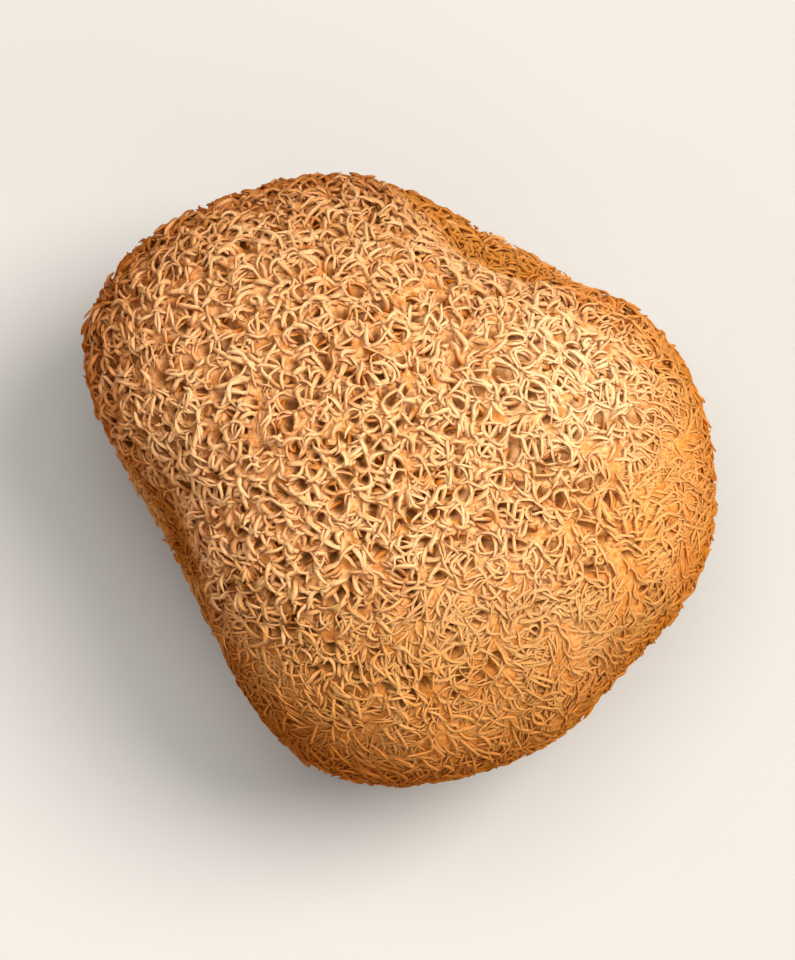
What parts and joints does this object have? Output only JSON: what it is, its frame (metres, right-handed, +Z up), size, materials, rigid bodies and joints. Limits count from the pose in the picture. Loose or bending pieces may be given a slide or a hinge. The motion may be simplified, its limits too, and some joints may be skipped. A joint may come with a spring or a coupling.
{
  "type": "dried lion's mane mushroom",
  "caption": "Rounded, lobed dried lion's mane mushroom covered in short matted spines, cut off flat at the foot so that it stands crown up.",
  "frame": {"origin": "on the flat cut at the foot, under the middle of the mushroom's box", "axes": "+Z up through the crown, +X along the longest way across, +Y to the side with the notch between the two lobes"},
  "size_m": [0.0554, 0.0541, 0.0399],
  "materials": {
    "dried_flesh": "matt, dry and fibrous"
  },
  "bodies": {
    "root": {"mushroom": "dried_flesh"}
  },
  "joints": []
}
